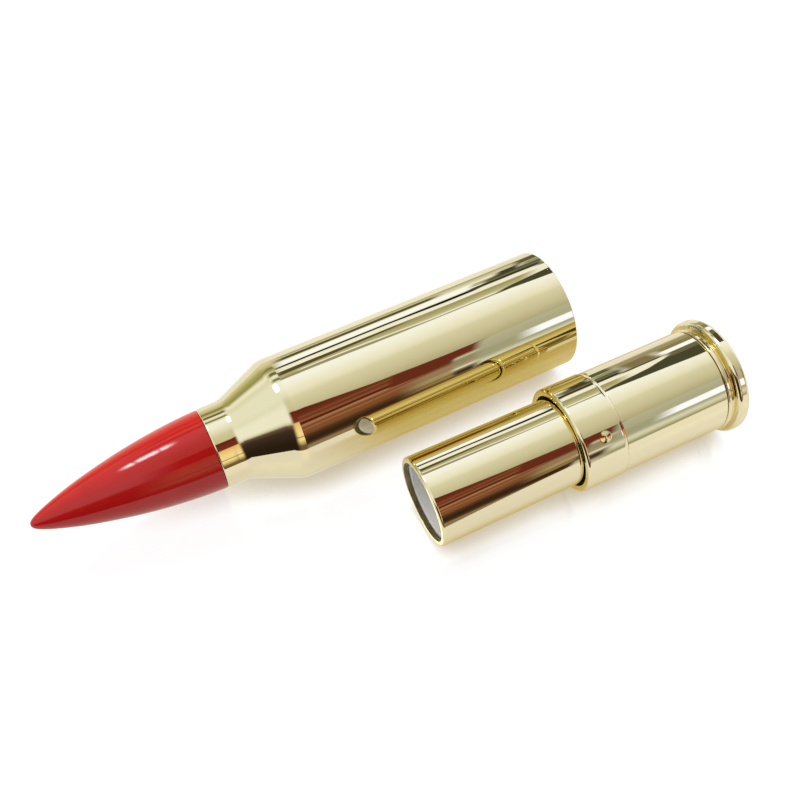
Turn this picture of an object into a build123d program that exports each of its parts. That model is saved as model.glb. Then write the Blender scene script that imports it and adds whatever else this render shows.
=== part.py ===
from build123d import *
import os
from math import asin, cos, radians, sin

os.makedirs("parts", exist_ok=True)

# Lipstick case, opened and lying on a floor at z = 0.
# The base unit lies along x, mouth at low x and foot at high x. The cap lies
# beside it at higher y, tip at low x. Heights ("Z" in the names of sizes) run
# along each unit's own axis: from the cap's open end, or from the base's foot.

# --- cap shell ---
CAP_R = 11.0            # outer radius of the long cylinder
CAP_WALL = 0.58
CAP_CYL = 53.9          # height of the cylinder
SHOULDER = 8.72         # height of the cone
NECK_R = 7.22
NECK = 4.08
SHOULDER_TOP = CAP_CYL + SHOULDER
SEAM = SHOULDER_TOP + NECK
CAP_R_IN = CAP_R - CAP_WALL
NECK_R_IN = NECK_R - CAP_WALL

# --- cap liner ---
LINER_Z0 = 0.6
LINER_Z1 = 53.2
LINER_R_OUT = 10.38
LINER_R_IN = 9.70
LEAD_IN_H = 0.6         # height and depth of the bevel at the open end
LEAD_IN_R = 0.35
RIB_COUNT = 6
RIB_R = 9.54            # inner reach of the ribs, just clear of the collar
RIB_ROOT_R = LINER_R_IN + 0.1   # ribs overlap the liner
RIB_W = 0.9
RIB_Z0 = 22.5
RIB_LEN = 14

# --- cap tip ---
TIP_R = 7.12            # outer radius at the seam
TIP_LEN = 31.25
TIP_GAP = 0.02          # between the tip and the neck's edge
SPIGOT_R = NECK_R_IN - 0.06
SPIGOT_DEEP = 5.6
TIP_R_IN = 5.5

# --- foot of the base unit ---
FLANGE_R = 10.45
FLANGE_H = 2.05
GROOVE_R = 9.1
BEAD_R = 9.5
BEAD_TOP = 3.60
PLATE_R = 8.56
PLATE_H = 0.8
PLATE_SEAT_R = PLATE_R + 0.06
PLATE_SEAT_H = 0.95
FOOT_BORE_R = 8.05
FOOT_TOP = 7.8          # top of the foot's spigot
BALLAST_Z0 = 1.0
BALLAST_H = 6.7
BALLAST_R = FOOT_BORE_R - 0.08
BALLAST_HOLE_R = 2.0

# --- barrel and collar ---
BARREL_R = 9.35
BARREL_R_IN = 8.75
BARREL_FIT_R = BARREL_R_IN - 0.03   # outer radius of what fits inside the barrel
BARREL_Z0 = 3.64
BARREL_Z1 = 30.6
COLLAR_Z0 = 23.7
COLLAR_Z1 = 31.6
COLLAR_R = 9.5
BARREL_STEP_Z = COLLAR_Z0 - 0.02
BARREL_NECK_R = 9.15    # reduced top of the barrel, under the collar band
COLLAR_R_IN = BARREL_NECK_R + 0.02
LIP_R = 8.3             # inner radius of the collar's rolled lip
LIP_Z0 = COLLAR_Z1 - 0.85
PIP_COUNT = 3           # small snap pips on the collar, for the cap
PIP_Z = 27.3
PIP_ANGLE = 41.8        # the first pip, from the top towards -y
PIP_R = 1.0
PIP_PROUD = 0.18

# --- sleeve and its liner ---
SLEEVE_LEN = 57.85      # height of the mouth above the foot
TUBE_R_MOUTH = 8.0
TUBE_R_FOOT = 7.86
TUBE_R_IN = 7.42
SLEEVE_Z0 = 18.2        # underside of the sleeve's foot flange
SLEEVE_FLANGE_R = 8.5
SLEEVE_FLANGE_TOP = SLEEVE_Z0 + 0.8
LINER_TOP = 56.85       # top of the plastic inside, under the turned-in mouth
MOUTH_R = 7.0           # opening of the sleeve's turned-in mouth
MOUTH_Z0 = SLEEVE_LEN - 0.9     # underside of the turned-in mouth
SPIRAL_R_OUT = 7.40
SPIRAL_R_IN = 6.95

# --- core, fork tube and the rings around the sleeve ---
FORK_R_OUT = 6.90
FORK_R_IN = 6.48
CORE_Z0 = 8.0
CORE_Z1 = 18.1
CORE_FLOOR_TOP = 9.2
CORE_BORE_R = FORK_R_OUT + 0.02
FORK_Z0 = CORE_FLOOR_TOP + 0.05
RING_R_IN = 7.95
RETAINER_Z0, RETAINER_Z1 = 19.15, 20.7
BRAKE_Z0, BRAKE_Z1 = 28.9, 30.5

# --- carrier cup, its pegs and their slots ---
CUP_R_OUT = 6.42
CUP_R_IN = 6.05         # takes a standard 12.1 mm bullet
CUP_Z0 = 19.5
CUP_H = 13.0
CUP_FLOOR = 1.2
PEG_Z = 22.0
PEG_R = 0.75
PEG_ROOT_R = 6.2        # inside the cup's wall
PEG_TIP_R = 7.34
STROKE = 24.0
LEAD = 16.0             # rise of the cup per turn of the sleeve
SLOT_W = 2 * (PEG_R + 0.07)             # width of the straight slots
SLOT_LEN = STROKE + 2 * (PEG_R + 0.2)
HELIX_MARGIN = 0.40                     # extra slot height past each peg stop
HELIX_SLOT_W = SLOT_W + 0.12            # width across the helical slots
HELIX_CUT_DEPTH = 1.4                   # radial size of the cutter

# --- how the two units lie ---
# The base rests on its flange and the collar's lip, mouth end down.
REST_SPAN = 29.7        # between the two resting points
REST_Z = 1.35           # height of the flange's resting point
TILT = asin((FLANGE_R - COLLAR_R) / REST_SPAN)
CAP_YAW = radians(1.976)        # the cap lies 2 degrees off parallel
# Places measured from a point on the base's axis, near its mouth
FOOT_BACK = 57.7        # foot centre, along the axis
CAP_X, CAP_Y = 38.34, 26.15             # centre of the cap's open end
ORIGIN_X, ORIGIN_Y = -0.785, 13.345     # bottom centre of the whole

TO_MOUTH = Vector(-cos(TILT), 0, -sin(TILT))
BASE_UP = Vector(-sin(TILT), 0, cos(TILT))      # square to the axis, upwards
FOOT = Vector(
    FOOT_BACK * cos(TILT) - ORIGIN_X,
    -ORIGIN_Y,
    FLANGE_R * cos(TILT) + REST_Z * sin(TILT),
)
TO_TIP = Vector(-cos(CAP_YAW), -sin(CAP_YAW), 0)
CAP_SIDE = Vector(-sin(CAP_YAW), cos(CAP_YAW), 0)
CAP_END = Vector(CAP_X - ORIGIN_X, CAP_Y - ORIGIN_Y, CAP_R)

# Profile planes hold (radius, height); section planes lie across the axis.
base_axis = Axis(FOOT, TO_MOUTH)
base_profile = Plane(origin=FOOT, x_dir=(0, 1, 0), z_dir=BASE_UP)
base_section = Plane(origin=FOOT, x_dir=(0, 1, 0), z_dir=TO_MOUTH)
cap_axis = Axis(CAP_END, TO_TIP)
cap_profile = Plane(origin=CAP_END, x_dir=CAP_SIDE, z_dir=(0, 0, 1))
cap_section = Plane(origin=CAP_END, x_dir=CAP_SIDE, z_dir=TO_TIP)


def turned(corners, profile=base_profile, axis=base_axis):
    """Revolve a closed outline of (radius, height, corner rounding) rows."""
    with BuildPart() as piece:
        with BuildSketch(profile):
            with BuildLine():
                FilletPolyline(
                    *[(r, z) for r, z, _ in corners],
                    radius=tuple(rounding for _, _, rounding in corners),
                    close=True,
                )
            make_face()
        revolve(axis=axis)
    return piece.part


def barrel_ring(z0, z1, rounding):
    """Ring between the sleeve and the barrel's wall."""
    return turned([
        (RING_R_IN, z0, rounding),
        (BARREL_FIT_R, z0, rounding),
        (BARREL_FIT_R, z1, rounding),
        (RING_R_IN, z1, rounding),
    ])


pieces = {}     # file name: part

# ---------------------------------------------------------------------------
# Cap
# ---------------------------------------------------------------------------

# drawn shell: cylinder, cone and neck
pieces["cap_shell"] = turned([
    (CAP_R_IN, 0, 0.12),
    (CAP_R, 0, 0.2),
    (CAP_R, CAP_CYL, 6.0),
    (NECK_R, SHOULDER_TOP, 4.5),
    (NECK_R, SEAM, 0.4),
    (NECK_R_IN, SEAM, 0.08),
    (NECK_R_IN, SHOULDER_TOP + 0.3, 2.2),
    (CAP_R_IN, CAP_CYL + 0.2, 3.2),
], cap_profile, cap_axis)

# plastic liner with a lead-in at the open end and gripping ribs
with BuildPart() as cap_liner:
    with BuildSketch(cap_profile):
        with BuildLine():
            Polyline(
                (LINER_R_OUT, LINER_Z0),
                (LINER_R_OUT, LINER_Z1),
                (LINER_R_IN, LINER_Z1),
                (LINER_R_IN, LINER_Z0 + LEAD_IN_H),
                (LINER_R_IN + LEAD_IN_R, LINER_Z0),
                close=True,
            )
        make_face()
    revolve(axis=cap_axis)
    with BuildSketch(cap_section.offset(RIB_Z0)):
        with PolarLocations((RIB_R + RIB_ROOT_R) / 2, RIB_COUNT):
            Rectangle(RIB_ROOT_R - RIB_R, RIB_W)
    extrude(amount=RIB_LEN)
pieces["cap_liner"] = cap_liner.part

# hollow red ogive with a spigot that plugs into the neck
# outlines: (radius, height above the seam)
TIP_OUTSIDE = [
    (TIP_R, TIP_GAP), (6.86, 4.70), (6.36, 9.40),
    (5.66, 14.05), (4.72, 18.70), (3.58, 23.40),
    (2.32, 27.40), (1.34, 29.85), (0, TIP_LEN),
]
TIP_INSIDE = [
    (0, TIP_LEN), (0, 26.6), (1.1, 26.0), (3.3, 18.70), (5.0, 9.40),
    (TIP_R_IN, 3.0), (TIP_R_IN, -SPIGOT_DEEP),
    (SPIGOT_R, -SPIGOT_DEEP), (SPIGOT_R, TIP_GAP), (TIP_R, TIP_GAP),
]
with BuildPart() as cap_tip:
    with BuildSketch(cap_profile):
        with BuildLine():
            Spline(
                *[(r, SEAM + z) for r, z in TIP_OUTSIDE],
                tangents=((-0.03, 1), (-1, 0)),
            )
            Polyline(*[(r, SEAM + z) for r, z in TIP_INSIDE])
        make_face()
    revolve(axis=cap_axis)
pieces["cap_tip"] = cap_tip.part

# ---------------------------------------------------------------------------
# Base unit, fixed half
# ---------------------------------------------------------------------------

# turned foot: flange, groove, bead, and a spigot inside the barrel
pieces["rim_foot"] = turned([
    (PLATE_SEAT_R, 0, 0.15),
    (FLANGE_R, 0, 0.7),
    (FLANGE_R, FLANGE_H, 0.7),
    (GROOVE_R, 2.40, 0.12),
    (GROOVE_R, 2.85, 0.1),
    (BEAD_R, 2.97, 0.2),
    (BEAD_R, BEAD_TOP, 0.2),
    (BARREL_FIT_R, BEAD_TOP, 0),
    (BARREL_FIT_R, FOOT_TOP, 0.15),
    (FOOT_BORE_R, FOOT_TOP, 0.15),
    (FOOT_BORE_R, PLATE_SEAT_H, 0),
    (PLATE_SEAT_R, PLATE_SEAT_H, 0),
])

# disc that closes the foot, flush with its face
with BuildPart() as bottom_plate:
    with BuildSketch(base_section):
        Circle(PLATE_R)
    extrude(amount=PLATE_H)
    chamfer(bottom_plate.edges().filter_by(GeomType.CIRCLE), length=0.1)
pieces["bottom_plate"] = bottom_plate.part

# steel slug that weights the foot
with BuildPart() as ballast_weight:
    with BuildSketch(base_section.offset(BALLAST_Z0)):
        Circle(BALLAST_R)
        Circle(BALLAST_HOLE_R, mode=Mode.SUBTRACT)
    extrude(amount=BALLAST_H)
    chamfer(ballast_weight.edges().filter_by(GeomType.CIRCLE), length=0.3)
pieces["ballast_weight"] = ballast_weight.part

# barrel with a reduced top that carries the collar band
pieces["base_shell"] = turned([
    (BARREL_R_IN, BARREL_Z0, 0),
    (BARREL_R, BARREL_Z0, 0.35),
    (BARREL_R, BARREL_STEP_Z, 0.05),
    (BARREL_NECK_R, BARREL_STEP_Z, 0),
    (BARREL_NECK_R, BARREL_Z1, 0.12),
    (BARREL_R_IN, BARREL_Z1, 0.12),
])

# centres of the pips' spheres, evenly spaced around the collar
turn_axis = Axis((0, 0, 0), TO_MOUTH)
first_pip_dir = BASE_UP.rotate(turn_axis, -PIP_ANGLE)
pip_places = [
    FOOT + TO_MOUTH * PIP_Z
    + first_pip_dir.rotate(turn_axis, 360 / PIP_COUNT * k) * (COLLAR_R + PIP_PROUD - PIP_R)
    for k in range(PIP_COUNT)
]

# collar band with a rolled lip that turns in towards the sleeve, and the pips
with BuildPart() as collar_ring:
    with BuildSketch(base_profile):
        with BuildLine():
            FilletPolyline(
                (COLLAR_R_IN, COLLAR_Z0),
                (COLLAR_R - 0.14, COLLAR_Z0),
                (COLLAR_R, COLLAR_Z0 + 0.45),
                (COLLAR_R, COLLAR_Z1),
                (LIP_R, COLLAR_Z1),
                (LIP_R, LIP_Z0),
                (COLLAR_R_IN, LIP_Z0),
                radius=(0.02, 0.02, 2.0, 0.75, 0.35, 0.12, 0.08),
                close=True,
            )
        make_face()
    revolve(axis=base_axis)
    with Locations(*pip_places):
        Sphere(PIP_R)
    # clear the inner parts of the spheres from the bore
    with BuildSketch(base_section.offset(COLLAR_Z0)):
        Circle(COLLAR_R_IN)
    extrude(amount=LIP_Z0 - COLLAR_Z0, mode=Mode.SUBTRACT)
pieces["collar_ring"] = collar_ring.part

# plastic core: a cup that holds the fork tube's foot
with BuildPart() as base_core:
    with BuildSketch(base_profile):
        with BuildLine():
            Polyline(
                (0, CORE_Z0),
                (BARREL_FIT_R, CORE_Z0),
                (BARREL_FIT_R, CORE_Z1),
                (CORE_BORE_R, CORE_Z1),
                (CORE_BORE_R, CORE_FLOOR_TOP),
                (0, CORE_FLOOR_TOP),
                close=True,
            )
        make_face()
    revolve(axis=base_axis)
pieces["base_core"] = base_core.part

# ring that traps the sleeve's foot flange
pieces["retainer_ring"] = barrel_ring(RETAINER_Z0, RETAINER_Z1, rounding=0.12)

# silicone ring that gives the sleeve its drag
pieces["brake_ring"] = barrel_ring(BRAKE_Z0, BRAKE_Z1, rounding=0.2)

# ---------------------------------------------------------------------------
# Screw mechanism: helical slots, pegs and straight slots share one angle
# ---------------------------------------------------------------------------

helix_centre = FOOT + TO_MOUTH * (PEG_Z - HELIX_MARGIN)
with BuildPart() as helix_cutter:
    with BuildLine() as helix_path:
        Helix(
            pitch=LEAD,
            height=STROKE + 2 * HELIX_MARGIN,
            radius=(SPIRAL_R_IN + SPIRAL_R_OUT) / 2,
            center=helix_centre,
            direction=TO_MOUTH,
        )
    start = helix_path.line @ 0
    with BuildSketch(Plane(origin=start, x_dir=start - helix_centre, z_dir=helix_path.line % 0)):
        Rectangle(HELIX_CUT_DEPTH, HELIX_SLOT_W)
    sweep(path=helix_path.line, is_frenet=True)

# direction from the axis to the first peg, past the slot's end margin
peg_dir = (start - helix_centre).normalized().rotate(turn_axis, 360 * HELIX_MARGIN / LEAD)

# white inner tube with two straight slots: it stops the cup turning
slot_centre = FOOT + TO_MOUTH * (PEG_Z + STROKE / 2)
with BuildPart() as fork_tube:
    with BuildSketch(base_section.offset(FORK_Z0)):
        Circle(FORK_R_OUT)
        Circle(FORK_R_IN, mode=Mode.SUBTRACT)
    extrude(amount=LINER_TOP - FORK_Z0)
    with BuildSketch(Plane(origin=slot_centre, x_dir=TO_MOUTH, z_dir=peg_dir)):
        SlotOverall(SLOT_LEN, SLOT_W)
    extrude(amount=FORK_R_OUT + 1, both=True, mode=Mode.SUBTRACT)
pieces["fork_tube"] = fork_tube.part

# liner of the sleeve with two helical slots, half a turn apart
with BuildPart() as spiral_sleeve:
    with BuildSketch(base_section.offset(SLEEVE_Z0)):
        Circle(SPIRAL_R_OUT)
        Circle(SPIRAL_R_IN, mode=Mode.SUBTRACT)
    extrude(amount=LINER_TOP - SLEEVE_Z0)
    add(helix_cutter.part, mode=Mode.SUBTRACT)
    add(helix_cutter.part.rotate(base_axis, 180), mode=Mode.SUBTRACT)
pieces["spiral_sleeve"] = spiral_sleeve.part

# gold sleeve: foot flange inside the barrel, slight flare to a rounded, turned-in mouth
pieces["sleeve_tube"] = turned([
    (TUBE_R_IN, SLEEVE_Z0, 0),
    (SLEEVE_FLANGE_R, SLEEVE_Z0, 0.1),
    (SLEEVE_FLANGE_R, SLEEVE_FLANGE_TOP, 0.1),
    (TUBE_R_FOOT - 0.01, SLEEVE_FLANGE_TOP, 0),
    (TUBE_R_FOOT, COLLAR_Z1, 0),
    (TUBE_R_MOUTH, SLEEVE_LEN, 0.85),
    (MOUTH_R, SLEEVE_LEN, 0.13),
    (MOUTH_R, MOUTH_Z0, 0.08),
    (TUBE_R_IN, MOUTH_Z0, 0.05),
])

# carrier cup, with a peg on each side through fork and spiral
peg_centre = FOOT + TO_MOUTH * PEG_Z
with BuildPart() as cup:
    with BuildSketch(base_section.offset(CUP_Z0)):
        Circle(CUP_R_OUT)
    extrude(amount=CUP_H)
    with BuildSketch(base_section.offset(CUP_Z0 + CUP_FLOOR)):
        Circle(CUP_R_IN)
    extrude(amount=CUP_H, mode=Mode.SUBTRACT)
    for side in (1, -1):
        peg_plane = Plane(origin=peg_centre, x_dir=TO_MOUTH, z_dir=peg_dir * side)
        with BuildSketch(peg_plane.offset(PEG_ROOT_R)):
            Circle(PEG_R)
        extrude(amount=PEG_TIP_R - PEG_ROOT_R)
pieces["cup"] = cup.part

for name, part in pieces.items():
    part.label = name
    export_step(part, f"parts/{name}.step")
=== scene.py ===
"""A slim two-part case lying on a pale floor: a gold base unit with its sleeve, and a gold
cap with a red pointed tip.

Both lie along x, their open feet at +x: the base on the -y side, sloping slightly down
towards its collar, the cap on the +y side, level and turned slightly. The camera looks
down from -y. Pieces are measured in millimetres, as radius and height along their own axis.
"""
import math

import bmesh
import bpy
import numpy as np
from mathutils import Matrix, Vector


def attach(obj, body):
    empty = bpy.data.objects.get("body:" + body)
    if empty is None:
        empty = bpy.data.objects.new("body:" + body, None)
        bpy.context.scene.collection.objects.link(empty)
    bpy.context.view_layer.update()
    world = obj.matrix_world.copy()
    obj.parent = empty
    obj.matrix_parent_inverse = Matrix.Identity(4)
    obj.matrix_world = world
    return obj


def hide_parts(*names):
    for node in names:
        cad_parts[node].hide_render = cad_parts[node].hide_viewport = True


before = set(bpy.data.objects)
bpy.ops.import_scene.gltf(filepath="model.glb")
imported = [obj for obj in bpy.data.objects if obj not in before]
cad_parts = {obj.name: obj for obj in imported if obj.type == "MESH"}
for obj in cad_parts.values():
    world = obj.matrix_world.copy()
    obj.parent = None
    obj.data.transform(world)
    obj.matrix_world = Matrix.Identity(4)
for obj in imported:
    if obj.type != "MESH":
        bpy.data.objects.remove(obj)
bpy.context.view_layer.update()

scene = bpy.context.scene
MM = 0.001
FULL_TURN = 2 * math.pi

# ---------------------------------------------------------------------------
# Driving sizes, in millimetres
# ---------------------------------------------------------------------------

FOOT_RADIUS = 10.45
FOOT_REST = 1.35  # height on the foot where it touches the floor
COLLAR_RADIUS = 9.5
COLLAR_TOP = 31.6
REST_SPAN = 29.7  # between the places where the foot and the collar rest
BASE_REACH = 57.7  # from the foot to the zero of x, before the shift
CAP_RADIUS = 11.0
CAP_START = 38.34  # x of the cap's open end, before the shift
CAP_SPACING = 26.15  # from the base's axis to the cap's, in y
SHIFT_X, SHIFT_Y = 0.785, -13.345
SEAM = 66.7  # where the red tip meets the cap shell
SLEEVE_FOOT = 18.2
LINER_TOP = 56.85  # of the fork tube and the spiral sleeve
CUP_FOOT = 19.5
PEG_HEIGHT = 22.0

TILT = math.asin((FOOT_RADIUS - COLLAR_RADIUS) / REST_SPAN)
YAW = math.radians(1.976)


def columns(*directions):
    """A rotation matrix with these directions as its columns."""
    matrix = Matrix.Identity(4)
    for k, direction in enumerate(directions):
        for i in range(3):
            matrix[i][k] = direction[i]
    return matrix


class Axis:
    """A unit's axis: origin, direction, the direction nearest to up, and the third."""

    def __init__(self, origin, along):
        self.origin = np.array(origin, float)
        self.along = np.array(along, float) / np.linalg.norm(along)
        up = np.array([0.0, 0.0, 1.0])
        self.up = up - self.along * (up @ self.along)
        self.up /= np.linalg.norm(self.up)
        self.side = np.cross(self.along, self.up)

    def angle_of(self, vector):
        return math.atan2(vector @ self.side, vector @ self.up)

    def spoke(self, angle):
        """The outward direction at an angle, and the one across it, round the axis."""
        radial = math.cos(angle) * self.up + math.sin(angle) * self.side
        return radial, np.cross(self.along, radial)


BASE = Axis(
    (BASE_REACH * math.cos(TILT) + SHIFT_X, SHIFT_Y,
     FOOT_RADIUS * math.cos(TILT) + FOOT_REST * math.sin(TILT)),
    (-math.cos(TILT), 0, -math.sin(TILT)),
)
CAP = Axis(
    (CAP_START + SHIFT_X, CAP_SPACING + SHIFT_Y, CAP_RADIUS),
    (-math.cos(YAW), -math.sin(YAW), 0),
)

# ---------------------------------------------------------------------------
# Profiles
# ---------------------------------------------------------------------------

SMALLEST_CORNER = 0.035


def unit(vector):
    return vector / np.linalg.norm(vector)


def normal_of(direction):
    return np.array([direction[1], -direction[0]])


def outline(points, closed=True, step=9.0):
    """Rows of (r, z, nr, nz) from points of (r, z, corner radius), step in degrees.

    A corner radius of None marks a point of a smooth curve.
    """
    places = [np.array(point[:2], float) for point in points]
    corners = [point[2] for point in points]
    if closed:
        pairs = zip(places, places[1:] + places[:1])
        if sum(a[0] * b[1] - b[0] * a[1] for a, b in pairs) < 0:
            places.reverse()
            corners.reverse()
    count = len(places)
    rows = []
    for i in range(count):
        here = places[i]
        if not closed and i in (0, count - 1):
            ends = places[:2] if i == 0 else places[-2:]
            rows.append((*here, *normal_of(unit(ends[1] - ends[0]))))
            continue
        before, after = places[i - 1], places[(i + 1) % count]
        coming, going = unit(here - before), unit(after - here)
        turn = math.atan2(coming[0] * going[1] - coming[1] * going[0], coming @ going)
        if corners[i] is None or abs(turn) < math.radians(1.0):
            rows.append((*here, *unit(normal_of(coming) + normal_of(going))))
            continue
        reach = max(corners[i], SMALLEST_CORNER) * math.tan(abs(turn) / 2)
        nearest = min(np.linalg.norm(here - before), np.linalg.norm(after - here))
        reach = min(reach, 0.48 * nearest)
        radius = reach / math.tan(abs(turn) / 2)
        side = 1 if turn > 0 else -1
        first = normal_of(coming)
        centre = here - coming * reach - side * radius * first
        steps = max(3, math.ceil(abs(math.degrees(turn)) / step))
        for k in range(steps + 1):
            cos, sin = math.cos(turn * k / steps), math.sin(turn * k / steps)
            normal = np.array([first[0] * cos - first[1] * sin, first[0] * sin + first[1] * cos])
            rows.append((*(centre + side * radius * normal), *normal))
    return rows


def add_rows(rows, heights):
    """Extra rows on straight outer stretches, so that a surface can be shaped there."""
    result = []
    for i, row in enumerate(rows):
        following = rows[(i + 1) % len(rows)]
        result.append(row)
        lo, hi = sorted((row[1], following[1]))
        if hi - lo > 1.0 and abs(row[0] - following[0]) < 0.02 and row[2] > 0.99:
            inside = [h for h in heights if lo + 0.02 < h < hi - 0.02]
            for height in sorted(inside, reverse=row[1] > following[1]):
                share = (height - row[1]) / (following[1] - row[1])
                result.append(tuple(np.array(row) * (1 - share) + np.array(following) * share))
    return result


def curve_through(points, start_dir, end_dir, count):
    """A smooth cubic curve through (r, z) points with given end directions."""
    points = np.array(points, float)
    spans = np.linalg.norm(np.diff(points, axis=0), axis=1)
    knots = np.concatenate(([0], np.cumsum(spans)))
    last = len(points) - 1
    system = np.zeros((last + 1, last + 1))
    target = np.zeros((last + 1, 2))
    system[0, 0] = system[-1, -1] = 1
    target[0] = np.array(start_dir, float) / np.linalg.norm(start_dir)
    target[-1] = np.array(end_dir, float) / np.linalg.norm(end_dir)
    for i in range(1, last):
        before, after = knots[i] - knots[i - 1], knots[i + 1] - knots[i]
        system[i, i - 1], system[i, i], system[i, i + 1] = after, 2 * (before + after), before
        target[i] = 3 * (
            after * (points[i] - points[i - 1]) / before
            + before * (points[i + 1] - points[i]) / after
        )
    slopes = np.linalg.solve(system, target)
    result = []
    # closer together towards the end
    for place in (1 - (1 - np.linspace(0, 1, count)) ** 1.6) * knots[-1]:
        i = min(max(int(np.searchsorted(knots, place)) - 1, 0), last - 1)
        span = knots[i + 1] - knots[i]
        q = (place - knots[i]) / span
        result.append(
            (2 * q**3 - 3 * q**2 + 1) * points[i] + (q**3 - 2 * q**2 + q) * span * slopes[i]
            + (-2 * q**3 + 3 * q**2) * points[i + 1] + (q**3 - q**2) * span * slopes[i + 1]
        )
    return result


# ---------------------------------------------------------------------------
# Solids
# ---------------------------------------------------------------------------

pieces = {}


def mesh_object(name, verts, faces):
    mesh = bpy.data.meshes.new(name)
    mesh.from_pydata([tuple(v) for v in verts], [], faces)
    mesh.update()
    obj = bpy.data.objects.new(name, mesh)
    scene.collection.objects.link(obj)
    return obj


def register(obj, body, node):
    """Tells the frame which body the piece rides on and which CAD piece it replaces."""
    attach(obj, body)
    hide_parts(node)
    pieces[obj.name] = obj


def lathe(name, axis, rows, body, node, segments=320, closed=True, shape=None):
    """A turned piece with exact normals.

    shape(z, theta, nr) may give a lift of the surface and its slopes round and along.
    """
    rows = np.array(rows, float)
    theta = np.arange(segments) * 2 * math.pi / segments
    ring = np.outer(np.cos(theta), axis.up) + np.outer(np.sin(theta), axis.side)
    swirl = np.outer(-np.sin(theta), axis.up) + np.outer(np.cos(theta), axis.side)
    r, z, normal_r, normal_z = (rows[:, k][:, None] * np.ones(segments)[None] for k in range(4))
    lift, normal_t = np.zeros_like(r), np.zeros_like(r)
    if shape is not None:
        lift, slope_t, slope_z = shape(z, theta[None] * np.ones_like(r), normal_r)
        normal_t = -slope_t
        normal_z = normal_z - slope_z
    places = axis.origin + z[..., None] * axis.along + (r + lift)[..., None] * ring[None]
    normals = (normal_z[..., None] * axis.along + normal_r[..., None] * ring[None]
               + normal_t[..., None] * swirl[None])
    normals /= np.linalg.norm(normals, axis=-1, keepdims=True)
    verts, vert_normals, index = [], [], np.zeros((len(rows), segments), int)
    count = 0
    for i in range(len(rows)):
        if rows[i, 0] < 1e-6:  # a point on the axis is a single vertex
            verts.append((axis.origin + rows[i, 1] * axis.along)[None])
            vert_normals.append((math.copysign(1.0, rows[i, 3]) * axis.along)[None])
            index[i] = count
            count += 1
        else:
            verts.append(places[i])
            vert_normals.append(normals[i])
            index[i] = count + np.arange(segments)
            count += segments
    faces = []
    for i in range(len(rows) if closed else len(rows) - 1):
        lower, upper = index[i], index[(i + 1) % len(rows)]
        next_lower, next_upper = np.roll(lower, -1), np.roll(upper, -1)
        if lower[0] == lower[1] and upper[0] == upper[1]:
            continue
        if lower[0] == lower[1]:
            corners = (lower, next_upper, upper)
        elif upper[0] == upper[1]:
            corners = (lower, next_lower, upper)
        else:
            corners = (lower, next_lower, next_upper, upper)
        faces += np.stack(corners, 1).tolist()
    obj = mesh_object(name, (np.concatenate(verts) * MM).tolist(), faces)
    mesh = obj.data
    mesh.polygons.foreach_set("use_smooth", [True] * len(mesh.polygons))
    mesh.normals_split_custom_set_from_vertices(np.concatenate(vert_normals).tolist())
    mesh.update()
    register(obj, body, node)


def plain_lathe(name, axis, points, segments):
    """A turned solid without custom normals, ready to be cut or joined."""
    rows = outline(points, step=12.0)
    verts = [
        (axis.origin + z * axis.along + r * axis.spoke(angle)[0]) * MM
        for r, z, _, _ in rows for angle in np.arange(segments) * 2 * math.pi / segments
    ]
    faces = []
    for i in range(len(rows)):
        k = (i + 1) % len(rows)
        for j in range(segments):
            m = (j + 1) % segments
            ring = (i * segments + j, i * segments + m, k * segments + m, k * segments + j)
            faces.append(ring)
    return mesh_object(name, verts, faces)


def bar(name, loops):
    """A closed solid from rings of (x, y, z) points, one after another."""
    size = len(loops[0])
    verts = [np.array(point) * MM for loop in loops for point in loop]
    faces = []
    for i in range(len(loops) - 1):
        for j in range(size):
            a, b = i * size + j, i * size + (j + 1) % size
            faces.append((a, b, b + size, a + size))
    faces.append(tuple(range(size))[::-1])
    faces.append(tuple((len(loops) - 1) * size + j for j in range(size)))
    return mesh_object(name, verts, faces)


def outward(obj):
    """Turns the faces of a closed solid outward."""
    bm = bmesh.new()
    bm.from_mesh(obj.data)
    bmesh.ops.recalc_face_normals(bm, faces=bm.faces)
    bm.to_mesh(obj.data)
    bm.free()


def cut(obj, cutters):
    """Takes the cutters out of obj and keeps the result as a plain mesh."""
    for cutter in cutters:
        outward(cutter)
        mod = obj.modifiers.new("cut", "BOOLEAN")
        mod.operation, mod.solver, mod.object = "DIFFERENCE", "EXACT", cutter
    bpy.context.view_layer.update()
    evaluated = obj.evaluated_get(bpy.context.evaluated_depsgraph_get())
    done = bpy.data.meshes.new_from_object(evaluated)
    obj.modifiers.clear()
    obj.data = done
    for cutter in cutters:
        bpy.data.objects.remove(cutter)


def join(obj, others):
    """Adds the others' faces to obj, as closed shells of the same moulding."""
    bm = bmesh.new()
    bm.from_mesh(obj.data)
    for other in others:
        outward(other)
        bm.from_mesh(other.data)
        bpy.data.objects.remove(other)
    bm.to_mesh(obj.data)
    bm.free()


def smooth(obj):
    obj.data.polygons.foreach_set("use_smooth", [True] * len(obj.data.polygons))
    obj.data.set_sharp_from_angle(angle=math.radians(35.0))
    obj.data.update()


# ---------------------------------------------------------------------------
# Turned pieces. Outlines are (radius, height, corner radius).
# ---------------------------------------------------------------------------

# cap: drawn shell
lathe(
    "cap_skin", CAP,
    outline([
        (10.42, 0, 0.12), (CAP_RADIUS, 0, 0.2), (CAP_RADIUS, 53.9, 6.0), (7.22, 62.62, 4.5),
        (7.22, SEAM, 0.4), (6.64, SEAM, 0.08), (6.64, 62.92, 2.2), (10.42, 54.1, 3.2),
    ], step=2.0),
    "cap", "cap_shell", segments=384,
)


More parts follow.
